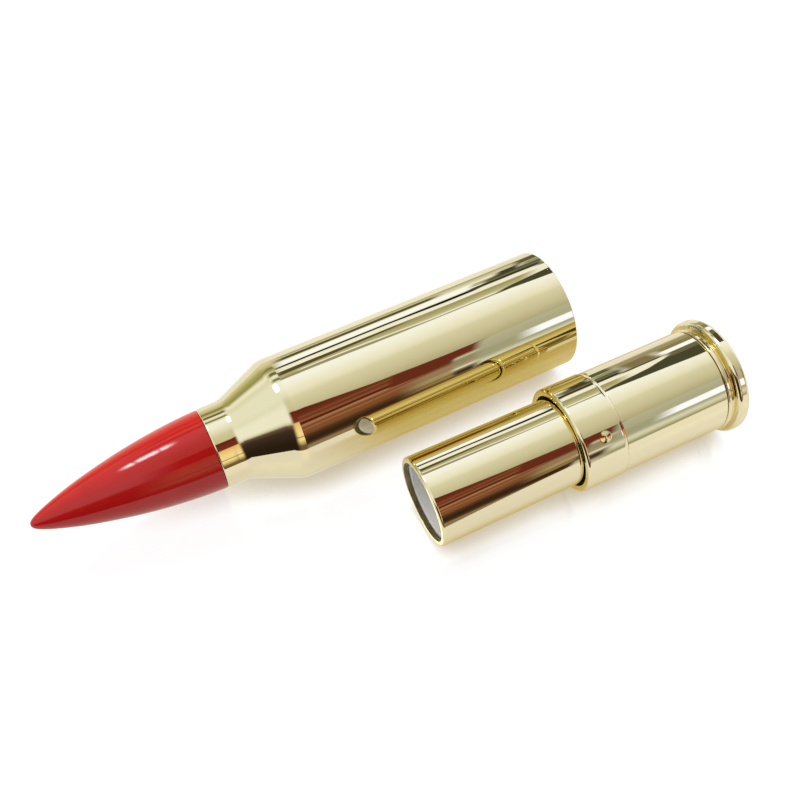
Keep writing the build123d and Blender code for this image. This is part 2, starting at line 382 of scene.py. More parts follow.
# Tip: heights are above the seam
TIP_OGIVE = [  # radius, height
    (7.12, 0.02), (6.86, 4.70), (6.36, 9.40), (5.66, 14.05), (4.72, 18.70), (3.58, 23.40),
    (2.32, 27.40), (1.34, 29.85), (0, 31.25),
]
TIP_INSIDE = [  # hollow, spigot and shoulder
    (0, 26.6, 0), (1.1, 26.0, 0.8), (3.3, 18.7, 4), (5.0, 9.4, 6), (5.5, 3.0, 2),
    (5.5, -5.6, 0.1), (6.58, -5.6, 0.1), (6.58, 0.02, 0.05), (7.12, 0.02, 0.16),
]


def build_tip():
    ogive = curve_through(TIP_OGIVE, start_dir=(-0.03, 1), end_dir=(-1, 0), count=120)
    # the curve's first points give way to the rounded shoulder
    points = TIP_INSIDE + [(r, z, None) for r, z in ogive[3:]]
    rows = outline([(r, SEAM + z, corner) for r, z, corner in points], closed=False)
    # both ends lie exactly on the axis and face along it
    rows[-1] = (0.0, rows[-1][1], 0.0, 1.0)
    rows[0] = (0.0, rows[0][1], 0.0, -1.0)
    lathe("tip_skin", CAP, rows, "cap", "cap_tip", closed=False)


build_tip()

# base: foot with flange, groove and bead
lathe(
    "foot_skin", BASE,
    outline([
        (8.62, 0, 0.15), (FOOT_RADIUS, 0, 0.7), (FOOT_RADIUS, 2.05, 0.7), (9.1, 2.40, 0.12),
        (9.1, 2.85, 0.1), (9.5, 2.97, 0.2), (9.5, 3.60, 0.2), (8.72, 3.60, 0),
        (8.72, 7.8, 0.15), (8.05, 7.8, 0.15), (8.05, 0.95, 0), (8.62, 0.95, 0),
    ], step=6.0),
    "base", "rim_foot", segments=384,
)

# base: the disc that closes the foot, with two shallow turned steps
lathe(
    "foot_disc", BASE,
    outline([
        (0, 0, 0), (2.6, 0, 0.2), (2.75, 0.07, 0.1), (3.05, 0.07, 0.1), (3.2, 0.0, 0.2),
        (7.7, 0.0, 0.2), (7.8, 0.05, 0.1), (8.0, 0.05, 0.1), (8.1, 0.0, 0.2),
        (8.56, 0.0, 0.12), (8.56, 0.8, 0.1), (0, 0.8, 0),
    ], closed=False),
    "base", "bottom_plate", closed=False,
)

# base: barrel
lathe(
    "barrel_skin", BASE,
    outline([
        (8.75, 3.64, 0), (9.35, 3.64, 0.35), (9.35, 23.68, 0.05), (9.15, 23.68, 0),
        (9.15, 30.6, 0.12), (8.75, 30.6, 0.12),
    ], step=6.0),
    "base", "base_shell", segments=384,
)

# Collar: band with a rolled lip and three pips
PIP_HEIGHT, PIP_REACH, PIP_LIFT = 27.3, 1.1, 0.2
PIP_PLACES = np.array([  # x, y, z in the frame
    (30.962, -19.131, 16.082), (31.113, -4.848, 11.389), (31.433, -16.056, 1.373),
])
PIP_ANGLES = [BASE.angle_of(place - BASE.origin) for place in PIP_PLACES]


def pips(z, theta, normal_r):
    """The lift of the pips and its slopes round and along the collar."""
    lift, slope_t, slope_z = (np.zeros_like(z) for _ in range(3))
    for angle in PIP_ANGLES:
        turn = (theta - angle + math.pi) % FULL_TURN - math.pi
        along, across = z - PIP_HEIGHT, COLLAR_RADIUS * turn
        away = (along**2 + across**2) / PIP_REACH**2
        inside = (away < 1) & (normal_r > 0.98)
        fall = np.where(inside, -4 * PIP_LIFT * (1 - away) / PIP_REACH**2, 0)
        lift += PIP_LIFT * np.where(inside, (1 - away) ** 2, 0)
        slope_t += fall * across
        slope_z += fall * along
    return lift, slope_t, slope_z


def build_collar():
    rows = outline([
        (9.17, 23.7, 0.02), (9.36, 23.7, 0.02), (COLLAR_RADIUS, 24.15, 2.0),
        (COLLAR_RADIUS, COLLAR_TOP, 0.75), (8.3, COLLAR_TOP, 0.35), (8.3, 30.75, 0.12),
        (9.17, 30.75, 0.08),
    ], step=2.5)
    rows = add_rows(rows, np.arange(PIP_HEIGHT - 1.12, PIP_HEIGHT + 1.13, 0.07))
    lathe("collar_skin", BASE, rows, "base", "collar_ring",
          segments=864, shape=pips)


build_collar()

# sleeve: gold tube with a foot flange and a rounded mouth
lathe(
    "sleeve_skin", BASE,
    outline([
        (7.42, SLEEVE_FOOT, 0), (8.5, SLEEVE_FOOT, 0.1), (8.5, 19.0, 0.1), (7.85, 19.0, 0),
        (7.86, COLLAR_TOP, None), (8.0, 57.85, 0.85), (7.0, 57.85, 0.13), (7.0, 56.95, 0.08),
        (7.42, 56.95, 0.05),
    ], step=6.0),
    "sleeve", "sleeve_tube", segments=384,
)

# ---------------------------------------------------------------------------
# Moulded and slotted pieces inside
# ---------------------------------------------------------------------------

PEG_ANGLE = BASE.angle_of(np.array([0.031593, -0.156434, -0.987183]))
OPPOSITE = (0, math.pi)  # slots and pegs come in pairs


def tube(name, inner, outer, foot, top):
    """A tube of the base with slightly rounded edges."""
    points = [(outer, foot, 0.05), (outer, top, 0.12), (inner, top, 0.12), (inner, foot, 0.05)]
    return plain_lathe(name, BASE, points, segments=160)


SLOT_HALF_WIDTH = 0.82
SLOT_ENDS = (46.13, 21.87)  # centres of the slot's round ends


def build_fork():
    """Tube with two straight slots."""
    fork = tube("fork_sleeve", inner=6.48, outer=6.90, foot=9.25, top=LINER_TOP)
    shape = []  # across, height
    for start, centre in zip(OPPOSITE, SLOT_ENDS):
        for k in range(33):
            angle = start + math.pi * k / 32
            shape.append((SLOT_HALF_WIDTH * math.cos(angle),
                          centre + SLOT_HALF_WIDTH * math.sin(angle)))
    cutters = []
    for half in OPPOSITE:
        radial, across = BASE.spoke(PEG_ANGLE + half)
        cutters.append(bar("slot_cutter", [
            [BASE.origin + radial * depth + across * x + BASE.along * z for x, z in shape]
            for depth in (5.6, 7.8)
        ]))
    cut(fork, cutters)
    smooth(fork)
    register(fork, "base", "fork_tube")


HELIX_PITCH, HELIX_LENGTH, HELIX_RADIUS = 16.0, 24.8, 7.175
HELIX_LEAD = 0.4  # how far the slot starts below the pegs
HELIX_SECTION = [(6.5, -0.88), (7.9, -0.88), (7.9, 0.88), (6.5, 0.88)]  # radius, across


def build_spiral():
    """Sleeve with two helical slots."""
    spiral = tube("spiral_liner", inner=6.95, outer=7.40, foot=SLEEVE_FOOT, top=LINER_TOP)
    turns = HELIX_LENGTH / HELIX_PITCH
    cutters = []
    for half in OPPOSITE:
        loops = []
        for k in range(121):
            share = k / 120
            turned = turns * share - HELIX_LEAD / HELIX_PITCH
            radial, across = BASE.spoke(PEG_ANGLE + half + FULL_TURN * turned)
            path = unit(across * (FULL_TURN * HELIX_RADIUS / HELIX_PITCH) + BASE.along)
            wide = np.cross(path, radial)
            height = PEG_HEIGHT - HELIX_LEAD + HELIX_LENGTH * share
            centre = BASE.origin + BASE.along * height
            loops.append([centre + radial * r + wide * w for r, w in HELIX_SECTION])
        cutters.append(bar("helix_cutter", loops))
    cut(spiral, cutters)
    smooth(spiral)
    register(spiral, "sleeve", "spiral_sleeve")


PEG_STATIONS = [  # distance from the axis, peg radius there
    (6.2, 0.75), (7.20, 0.75), (7.29, 0.72), (7.33, 0.65), (7.34, 0.55),
]


def build_cup():
    """Cup with a plugged floor and two pegs."""
    floor_top = 20.7
    cup = plain_lathe("carrier_cup", BASE, [
        (0.4, CUP_FOOT, 0), (6.42, CUP_FOOT, 0.25), (6.42, 32.5, 0.12), (6.05, 32.5, 0.12),
        (6.05, floor_top, 0.25), (0.4, floor_top, 0),
    ], segments=160)
    plug = plain_lathe("plug", BASE, [
        (0.001, CUP_FOOT, 0), (0.45, CUP_FOOT, 0), (0.45, floor_top, 0), (0.001, floor_top, 0),
    ], segments=48)
    pegs = []
    for half in OPPOSITE:
        radial, across = BASE.spoke(PEG_ANGLE + half)
        pegs.append(bar("peg", [
            [BASE.origin + radial * depth + BASE.along * (PEG_HEIGHT + size * math.sin(angle))
             + across * size * math.cos(angle) for angle in np.arange(32) * 2 * math.pi / 32]
            for depth, size in PEG_STATIONS
        ]))
    join(cup, [plug] + pegs)
    smooth(cup)
    register(cup, "carrier", "cup")


RIB_STATIONS = [  # height, how far the crest draws back outward
    (22.5, 0.10), (22.9, 0.02), (23.4, 0.0), (35.6, 0.0), (36.1, 0.02), (36.5, 0.10),
]
RIB_SECTION = [  # radius, across
    (9.80, -0.45), (9.66, -0.45), (9.56, -0.36), (9.54, -0.20),
    (9.54, 0.20), (9.56, 0.36), (9.66, 0.45), (9.80, 0.45),
]
RIB_ROOT = 9.7  # section points beyond this radius stay put


def build_liner():
    """Cap liner with a lead-in and six ribs."""
    liner = plain_lathe("cap_lining", CAP, [
        (10.38, 0.6, 0.08), (10.38, 53.2, 0.2), (9.70, 53.2, 0.2), (9.70, 1.2, 0.3),
        (10.05, 0.6, 0.08),
    ], segments=192)
    ribs = []
    for k in range(6):
        radial, across = CAP.spoke(math.pi / 2 + k * math.pi / 3)
        ribs.append(bar("rib", [
            [CAP.origin + radial * (r + (back if r < RIB_ROOT else 0)) + across * x
             + CAP.along * z for r, x in RIB_SECTION]
            for z, back in RIB_STATIONS
        ]))
    join(liner, ribs)
    smooth(liner)
    register(liner, "cap", "cap_liner")


build_fork()
build_spiral()
build_cup()
build_liner()

# brake ring
lathe(
    "brake_skin", BASE,
    outline([(7.95, 28.9, 0.2), (8.72, 28.9, 0.2), (8.72, 30.5, 0.2), (7.95, 30.5, 0.2)]),
    "base", "brake_ring", segments=256,
)

# ---------------------------------------------------------------------------
# Shader networks
# ---------------------------------------------------------------------------


class Value:
    """A node's output; +, - and * on it make Math nodes."""

    def __init__(self, net, socket):
        self.net = net
        self.socket = socket

    def __add__(self, other):
        return self.net.math("ADD", self, other)

    def __radd__(self, other):
        return self.net.math("ADD", other, self)

    def __sub__(self, other):
        return self.net.math("SUBTRACT", self, other)

    def __rsub__(self, other):
        return self.net.math("SUBTRACT", other, self)

    def __mul__(self, other):
        return self.net.math("MULTIPLY", self, other)


class Net:
    """Short names for shader nodes; any input takes a Value or a plain value."""

    def __init__(self, tree):
        self.tree = tree
        tree.nodes.clear()

    def node(self, kind, inputs=None, **props):
        node = self.tree.nodes.new(kind)
        for name, value in props.items():
            setattr(node, name, value)
        for name, value in (inputs or {}).items():
            if isinstance(value, Value):
                self.tree.links.new(value.socket, node.inputs[name])
            elif value is not None:
                node.inputs[name].default_value = value
        return node

    def values(self, kind, outputs, inputs=None, **props):
        node = self.node(kind, inputs, **props)
        return [Value(self, node.outputs[output]) for output in outputs]

    def value(self, kind, inputs=None, output=0, **props):
        return self.values(kind, [output], inputs, **props)[0]

    def math(self, op, a, b):
        return self.value("ShaderNodeMath", {0: a, 1: b}, operation=op)

    def vector(self, op, a, b, output=0):
        return self.value("ShaderNodeVectorMath", {0: a, 1: b}, output, operation=op)

    def scale(self, a, factor):
        inputs = {0: a, "Scale": factor}
        return self.value("ShaderNodeVectorMath", inputs, operation="SCALE")

    def xyz(self, at):
        return self.values("ShaderNodeSeparateXYZ", (0, 1, 2), {0: at})

    def flat(self, x, y):
        return self.value("ShaderNodeCombineXYZ", {0: x, 1: y, 2: 0.0})

    def mix(self, share, first, second):
        """Colour from first to second."""
        first, second = (c if isinstance(c, Value) else (*c, 1) for c in (first, second))
        inputs = {0: share, 6: first, 7: second}
        return self.value("ShaderNodeMix", inputs, 2, data_type="RGBA")

    def fit(self, x, source, to, kind="LINEAR"):
        """Maps the source range to another, clamped."""
        inputs = {0: x, 1: source[0], 2: source[1], 3: to[0], 4: to[1]}
        return self.value("ShaderNodeMapRange", inputs, interpolation_type=kind, clamp=True)

    def step(self, x, lo, hi):
        """Smoothly from 0 at lo to 1 at hi; lo may be the greater."""
        return self.fit(x, (lo, hi), to=(0.0, 1.0), kind="SMOOTHSTEP")

    def noise(self, at, scale=1.0, detail=2.0, rough=0.5, distort=0.0):
        return self.value("ShaderNodeTexNoise", {
            "Vector": at, "Scale": scale, "Detail": detail, "Roughness": rough,
            "Distortion": distort,
        })

    def stretch(self, at, x, y, z=1.0):
        return self.value("ShaderNodeMapping", {"Vector": at, "Scale": (x, y, z)})

    def bump(self, height, depth_mm, onto=None):
        return self.value("ShaderNodeBump", {
            "Height": height, "Distance": depth_mm * MM, "Strength": 1.0, "Normal": onto,
        })

    def pointiness(self):
        """Above 0.5 on edges, below it in recesses."""
        return self.value("ShaderNodeNewGeometry", output="Pointiness")

    def colors(self, x, stops):
        """Colour by x, from stops of (x, colour)."""
        lo, hi = stops[0][0], stops[-1][0]
        place = self.fit(x, (lo, hi), to=(0.0, 1.0))
        node = self.node("ShaderNodeValToRGB", {0: place})
        elements = node.color_ramp.elements
        for k, (at, color) in enumerate(stops):
            position = (at - lo) / (hi - lo)
            element = elements[k] if k < 2 else elements.new(position)  # a ramp starts with two
            element.position = position
            element.color = (*color, 1.0)
        return Value(self, node.outputs[0])

    def principled(self, **inputs):
        """Principled surface; an underscore in an argument stands for a space."""
        inputs = {name.replace("_", " "): value for name, value in inputs.items()}
        shader = self.value("ShaderNodeBsdfPrincipled", inputs)
        self.node("ShaderNodeOutputMaterial", {0: shader})


# ---------------------------------------------------------------------------
# Materials. Texture scales are per millimetre.
# ---------------------------------------------------------------------------

GOLD = (0.86, 0.80, 0.57)
WHITE = (1.0, 1.0, 1.0)


def start(name):
    mat = bpy.data.materials.new(name)
    mat.use_nodes = True
    return mat, Net(mat.node_tree)


def local_mm(net, axis):
    """Millimetres along the piece's own axis (z), and across it."""
    return net.value("ShaderNodeMapping", {
        "Location": axis.origin * MM,
        "Rotation": columns(axis.up, axis.side, axis.along).to_euler(),
        "Scale": (MM, MM, MM),
        "Vector": net.value("ShaderNodeTexCoord", output="Object"),
    }, vector_type="TEXTURE")


def unrolled(net, at, radius):
    """Coordinates (arc, height) in millimetres, for marks that run along or round."""
    x, y, z = net.xyz(at)
    return net.flat(net.math("ARCTAN2", y, x) * radius, z)


def gold(name, axis, radius, waviness=1.0, rough=0.02, ring_marks=0.0, mouth_painted_shade=False):
    """Plated mirror gold: slightly uneven, smudged, with hairlines and rubbed edges."""
    mat, net = start(name)
    at = local_mm(net, axis)
    flat = unrolled(net, at, radius)
    # broad smudges and fine orange peel
    smudge = net.noise(at, scale=0.16, detail=3.0, rough=0.62, distort=0.6)
    cloud = net.noise(at, scale=0.55, detail=4.0, rough=0.6)
    peel = net.noise(at, scale=2.6)
    # hairlines along the piece and round it, in patches
    along = net.noise(net.stretch(flat, x=9.0, y=0.16), rough=0.6, distort=0.25)
    around = net.noise(net.stretch(flat, x=0.10, y=11.0), rough=0.6, distort=0.2)
    lines = net.math("MAXIMUM", net.step(along, 0.685, 0.74), net.step(around, 0.70, 0.76))
    hair = lines * net.step(net.noise(at, scale=0.22), 0.52, 0.66)
    # specks of dust in the lacquer
    cells = {"Vector": at, "Scale": 0.8, "Randomness": 1.0}
    dust = net.value("ShaderNodeTexVoronoi", cells, "Distance")
    speck = net.math("LESS_THAN", dust, 0.055) * net.step(cloud, 0.60, 0.66)
    edge = net.step(net.pointiness(), 0.53, 0.60)
    edge = edge * net.fit(cloud, (0.35, 0.7), to=(0.3, 1.0))
    # every mark dulls the mirror by its own share
    roughness = net.fit(smudge, (0.42, 0.72), to=(rough * 0.75, rough * 1.9))
    roughness = roughness + cloud * 0.006 + hair * 0.05 + speck * 0.25 + edge * 0.05
    if ring_marks:
        rings = net.noise(net.stretch(at, x=0.0, y=0.0, z=14.0), detail=3.0, rough=0.7)
        roughness = roughness + rings * ring_marks
    deep = (GOLD[0] * 0.985, GOLD[1] * 0.955, GOLD[2] * 0.90)
    rubbed = (0.93, 0.88, 0.70)
    dusty = (0.62, 0.56, 0.42)
    color = net.mix(net.fit(cloud, (0.3, 0.75), to=(0.0, 0.5)), GOLD, deep)
    color = net.mix(edge * 0.35, color, rubbed)
    color = net.mix(speck * 0.4, color, dusty)
    if mouth_painted_shade:
        # the edge of the tube's mouth and the wall inside it: painted shade, a dark olive laid
        # into the colour, with a duller finish
        x, y, z = net.xyz(at)
        reach = net.value("ShaderNodeMath", {0: x * x + y * y}, operation="SQRT")
        inner = net.step(reach, 7.22, 7.04) * net.step(z, 56.2, 56.4)
        inner = inner * net.fit(cloud, (0.3, 0.7), to=(0.78, 0.92))
        color = net.mix(inner, color, (0.13, 0.105, 0.035))
        roughness = roughness + inner * 0.12
    # long swells along the axis, then the orange peel
    swell = net.noise(net.stretch(flat, x=0.20, y=0.035), detail=1.0, rough=0.4)
    # the millimetres are scaled before the waviness
    normal = net.value("ShaderNodeBump", {
        "Height": swell, "Distance": 0.02 * MM * waviness, "Strength": 1.0})
    normal = net.value("ShaderNodeBump", {
        "Height": peel, "Distance": 0.00022 * MM * waviness, "Strength": 1.0, "Normal": normal})
    net.principled(Base_Color=color, Metallic=1.0, Roughness=roughness, Normal=normal)
    return mat


def red_lacquer(name, axis):
    """Deep red plastic under clear gloss, with faint flow marks and a few hairlines."""
    mat, net = start(name)
    at = local_mm(net, axis)
    flat = unrolled(net, at, radius=6.0)
    cloud = net.noise(at, scale=0.35, detail=3.0, rough=0.55)
    flow = net.noise(net.stretch(flat, x=1.2, y=0.08), distort=0.4)
    peel = net.noise(at, scale=1.7)
    hair = net.noise(net.stretch(flat, x=7.0, y=0.3), rough=0.6, distort=0.3)
    hair = net.step(hair, 0.69, 0.74) * net.step(net.noise(at, scale=0.3), 0.5, 0.62)
    edge = net.step(net.pointiness(), 0.54, 0.62)
    bright, deep = (0.475, 0.0090, 0.0086), (0.440, 0.0072, 0.0072)
    flow_red, edge_red = (0.51, 0.012, 0.011), (0.60, 0.05, 0.045)
    color = net.mix(net.fit(cloud, (0.3, 0.7), to=(0.0, 1.0)), bright, deep)
    color = net.mix(net.fit(flow, (0.35, 0.7), to=(0.0, 0.35)), color, flow_red)
    color = net.mix(edge * 0.25, color, edge_red)
    normal = net.bump(net.noise(at, scale=0.25, detail=1.0, rough=0.4), depth_mm=0.012)
    normal = net.bump(peel, depth_mm=0.0006, onto=normal)
    net.principled(
        Base_Color=color,
        Roughness=net.fit(cloud, (0.35, 0.75), to=(0.16, 0.26)),
        Specular_IOR_Level=0.0,
        Coat_Weight=1.0,
        Coat_Roughness=net.fit(peel, (0.3, 0.8), to=(0.02, 0.035)) + hair * 0.12,
        Coat_IOR=1.45,
        Normal=normal,
        Coat_Normal=normal,
    )
    return mat


def white_plastic(name, axis, tone=(0.80, 0.795, 0.78)):
    """Satin white moulding with fine texture, with painted shade darkening the recesses."""
    mat, net = start(name)
    at = local_mm(net, axis)
    flat = unrolled(net, at, radius=7.0)
    cloud = net.noise(at, scale=0.30, detail=4.0, rough=0.6)
    grain = net.noise(at, scale=14.0, detail=3.0, rough=0.6)
    draw = net.noise(net.stretch(flat, x=5.0, y=0.12), rough=0.6)
    # painted shade: the colour darkens where the surface curves inward
    painted_recess_shade = net.step(net.pointiness(), 0.50, 0.42)
    yellowed = tuple(c * k for c, k in zip(tone, (0.93, 0.91, 0.86)))
    color = net.mix(net.fit(cloud, (0.35, 0.7), to=(0.0, 0.7)), tone, yellowed)
    color = net.mix(painted_recess_shade * 0.3, color, tuple(c * 0.7 for c in tone))
    normal = net.bump(grain, depth_mm=0.004)
    normal = net.bump(draw, depth_mm=0.003, onto=normal)
    net.principled(
        Base_Color=color,
        Roughness=net.fit(cloud, (0.3, 0.75), to=(0.30, 0.46)) + draw * 0.08,
        Specular_IOR_Level=0.5,
        Normal=normal,
    )
    return mat


def silicone(name, axis):
    """Matt black rubber with bloom and lint."""
    mat, net = start(name)
    at = local_mm(net, axis)
    cloud = net.noise(at, scale=0.8, detail=4.0, rough=0.65)
    grain = net.noise(at, scale=20.0, rough=0.6)
    lint = net.noise(net.stretch(at, x=3.0, y=12.0), detail=3.0, rough=0.7, distort=1.5)
    lint = net.step(lint, 0.70, 0.74)
    black, bloom, lint_grey = (0.012, 0.012, 0.013), (0.030, 0.030, 0.031), (0.16, 0.155, 0.15)
    color = net.mix(net.fit(cloud, (0.35, 0.7), to=(0.0, 1.0)), black, bloom)
    color = net.mix(lint * 0.5, color, lint_grey)
    net.principled(
        Base_Color=color,
        Roughness=net.fit(cloud, (0.3, 0.7), to=(0.55, 0.75)),
        Sheen_Weight=0.15,
        Normal=net.bump(grain, depth_mm=0.012),
    )
    return mat


def turned_steel(name, axis):
    """Turned steel: rings from the tool, a touch of oil stain."""
    mat, net = start(name)
    at = local_mm(net, axis)
    x, y, z = net.xyz(at)
    squares = net.math("POWER", x, 2.0) + net.math("POWER", y, 2.0)
    radius = net.value("ShaderNodeMath", {0: squares}, operation="SQRT")
    rings = net.noise(net.flat(radius, z), scale=9.0, detail=3.0, rough=0.7)
    stain = net.noise(at, scale=0.35, detail=4.0, rough=0.6)
    clean, oily = (0.56, 0.56, 0.57), (0.44, 0.42, 0.39)
    net.principled(
        Base_Color=net.mix(net.fit(stain, (0.4, 0.7), to=(0.0, 1.0)), clean, oily),
        Metallic=1.0,
        Roughness=net.fit(rings, (0.3, 0.7), to=(0.22, 0.42)),
        Normal=net.bump(rings, depth_mm=0.01),
    )
    return mat


materials = {
    "cap_skin": gold("gold_cap", CAP, radius=11.0),
    "tip_skin": red_lacquer("red_tip", CAP),
    "foot_skin": gold("gold_foot", BASE, radius=10.0, waviness=0.8),
    "foot_disc": gold("gold_disc", BASE, radius=6.0, waviness=0.8, rough=0.05, ring_marks=0.04),
    "barrel_skin": gold("gold_barrel", BASE, radius=9.3),
    "collar_skin": gold("gold_collar", BASE, radius=9.5, waviness=0.8),
    "sleeve_skin": gold("gold_sleeve", BASE, radius=8.0, mouth_painted_shade=True),
    "fork_sleeve": white_plastic("white_fork", BASE),
    "spiral_liner": white_plastic("white_spiral", BASE, tone=(0.76, 0.755, 0.74)),
    "carrier_cup": white_plastic("white_cup", BASE, tone=(0.82, 0.815, 0.80)),
    "cap_lining": white_plastic("white_liner", CAP),
    "brake_skin": silicone("black_brake", BASE),
}
for name, piece in pieces.items():
    piece.data.materials.append(materials[name])

# CAD pieces that are kept as they are
carried = {
    "ballast_weight": turned_steel("steel_weight", BASE),
    "base_core": white_plastic("white_core", BASE, tone=(0.74, 0.74, 0.73)),
    "retainer_ring": white_plastic("white_retainer", BASE, tone=(0.70, 0.70, 0.69)),
}
for node, mat in carried.items():
    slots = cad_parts[node].data.materials
    slots.clear()
    slots.append(mat)

# ---------------------------------------------------------------------------
# Studio: what the polished metal sees, by height angle in degrees (0 at the -y
# horizon, 90 overhead, 180 at the +y horizon) and by how far along the row (the
# direction's x). Stops are (angle, 8-bit colour as it looks on the gold).
# ---------------------------------------------------------------------------

# low cards, from the middle of the row towards +x
LOW_FIRST = [
    (-9, (140, 115, 76)), (-6, (90, 68, 40)), (-3, (60, 42, 22)), (2, (50, 32, 15)),
    (6, (62, 40, 24)), (9, (74, 46, 26)), (12, (90, 56, 32)), (15, (122, 76, 44)),
    (18, (128, 78, 42)), (21, (126, 74, 37)), (23.5, (154, 102, 63)), (26.5, (116, 66, 34)),
    (29, (146, 96, 60)), (32, (170, 122, 82)), (33.6, (84, 30, 9)), (36.5, (90, 36, 14)),
    (38.5, (140, 88, 56)), (40.5, (128, 74, 44)), (43, (108, 50, 27)), (46, (128, 72, 42)),
    (49, (106, 48, 26)), (60, (92, 35, 17)),
]
LOW_SECOND = [
    (-9, (140, 112, 70)), (-6, (92, 68, 38)), (-3, (52, 32, 10)), (1, (54, 33, 13)),
    (3, (98, 74, 40)), (5.5, (156, 131, 82)), (9, (128, 103, 55)), (12, (166, 144, 96)),
    (15, (176, 152, 106)), (17.5, (147, 124, 80)), (24, (150, 122, 84)), (27, (142, 106, 74)),
    (29.5, (115, 68, 41)), (33, (101, 52, 27)), (44, (103, 47, 26)), (60, (100, 42, 22)),
]
LOW_THIRD = [
    (-9, (196, 186, 150)), (-2, (184, 172, 132)), (0, (159, 144, 105)), (3, (92, 75, 49)),
    (6, (58, 41, 24)), (9, (66, 50, 30)), (12, (134, 120, 92)), (14.5, (232, 221, 188)),
    (17, (168, 158, 120)), (19, (156, 145, 108)), (24, (146, 130, 96)), (30, (145, 138, 102)),
    (32.5, (208, 198, 163)), (35, (144, 112, 84)), (37, (99, 47, 25)), (45, (101, 43, 24)),
    (60, (97, 40, 18)),
]
LOW_LAST = [
    (-8, (150, 143, 104)), (-5, (182, 175, 136)), (-2, (150, 142, 102)), (0, (166, 158, 112)),
    (3, (190, 183, 142)), (6, (208, 202, 164)), (9, (214, 209, 172)), (12, (200, 196, 165)),
    (15, (176, 172, 136)), (18, (160, 157, 120)), (27, (160, 156, 118)), (33, (172, 168, 130)),
    (39, (175, 170, 134)), (45, (180, 175, 138)), (51, (185, 180, 143)), (60, (196, 190, 150)),
]
HIGH = [
    (40, (174, 166, 120)), (50, (178, 170, 126)), (60, (195, 185, 141)), (66, (201, 192, 149)),
    (72, (206, 197, 153)), (78, (211, 202, 159)), (83, (215, 206, 164)), (87, (224, 216, 176)),
    (91, (231, 224, 186)), (96, (235, 229, 195)), (102, (239, 234, 203)),
    (108, (243, 239, 212)), (114, (246, 242, 220)), (120, (248, 244, 226)),
    (130, (241, 236, 205)), (145, (242, 237, 206)), (152, (236, 230, 190)),
    (158, (250, 250, 236)), (166, (250, 249, 232)), (170, (226, 219, 178)),
    (176, (205, 197, 152)), (181, (196, 187, 142)), (185, (160, 152, 106)),
    (188, (170, 162, 116)),
]
SHELF = [
    (112, (205, 198, 156)), (123, (200, 193, 148)), (126, (193, 186, 136)),
    (129, (178, 170, 116)), (132, (174, 167, 112)), (135, (160, 151, 100)),
    (141, (166, 158, 110)),
]
# towards -x: next to the middle, and at the far end
NOSE_NEAR = [
    (-5, (112, 86, 48)), (7, (240, 218, 137)), (11, (240, 214, 140)), (12.5, (120, 80, 40)),
    (14, (244, 214, 140)), (20, (246, 214, 142)), (32, (236, 201, 120)), (39, (225, 180, 110)),
    (40.5, (118, 49, 30)), (50, (112, 44, 24)), (60, (99, 36, 17)), (61.5, (192, 182, 132)),
    (65, (200, 192, 138)), (81, (208, 199, 155)), (93, (228, 221, 185)), (106, (240, 236, 205)),
    (118, (244, 241, 219)), (124, (226, 220, 184)), (126, (138, 130, 72)),
    (130, (112, 104, 50)), (132, (222, 216, 178)), (138, (238, 233, 200)),
    (140.5, (128, 118, 62)), (146, (96, 88, 38)), (148.5, (206, 198, 152)),
    (154, (172, 160, 102)), (160, (120, 108, 52)), (166, (187, 173, 113)),
    (179, (214, 201, 150)),
]
NOSE_FAR = [
    (0, (40, 27, 16)), (15, (50, 36, 23)), (28, (60, 45, 32)), (36, (100, 82, 55)),
    (40, (205, 196, 158)), (44, (228, 222, 188)), (48, (236, 231, 198)), (70, (236, 231, 198)),
    (83, (225, 220, 182)), (97, (229, 225, 188)), (123, (229, 225, 188)),
    (136, (220, 213, 172)), (148, (240, 232, 195)), (159, (145, 138, 74)),
    (171, (172, 164, 92)), (180, (200, 190, 130)),
]


def half_light(rgb):
    """Half the light that gives this colour on gold; halved to stay low, doubled later."""
    light = []
    for c, tint in zip(rgb, GOLD):
        c = c / 255
        c = c / 12.92 if c <= 0.04045 else ((c + 0.055) / 1.055) ** 2.4
        light.append(c / tint / 2)
    return light


world = bpy.data.worlds.new("studio")
scene.world = world
world.use_nodes = True
sky = Net(world.node_tree)
direction = sky.value("ShaderNodeTexCoord", output="Generated")
row_x, depth_y, up_z = sky.xyz(direction)
angle = sky.math("ARCTAN2", up_z, depth_y * -1.0) * 57.29578
# past the +y horizon the angle runs on beyond 180
angle = angle + sky.math("LESS_THAN", angle, -90.0) * 360.0
# the cards' edges wander a little
drift = sky.noise(sky.flat(row_x * 9.0, angle * 0.07), detail=3, rough=0.55)
angle = angle + (drift - 0.5) * 3.2


def by_angle(stops):
    return sky.colors(angle, [(at, half_light(rgb)) for at, rgb in stops])


def slope(begin, end):
    """An angle that changes along the row, between two points of (row, angle)."""
    return sky.fit(row_x, (begin[0], end[0]), to=(begin[1], end[1]))


def window(lo, hi, from_x, to_x, soft=0.6, soft_x=0.006):
    """1 inside a card: angles lo to hi, which may slant, and a stretch of the row."""
    low_edge = sky.step(angle - lo, -soft, soft)
    high_edge = sky.step(hi - angle, -soft, soft)
    start_edge = sky.step(row_x, from_x - soft_x, from_x + soft_x)
    end_edge = sky.step(row_x, to_x + soft_x, to_x - soft_x)
    return (low_edge * high_edge) * (start_edge * end_edge)


def add_cards(seen, cards):
    """Lays cards over what is seen.

    A card is (colour, lo, hi, from_x, to_x), then softness in angle and in the row if
    they aren't window's own.
    """
    for color, *place in cards:
        color = color if isinstance(color, Value) else half_light(color)
        seen = sky.mix(window(*place), seen, color)
    return seen


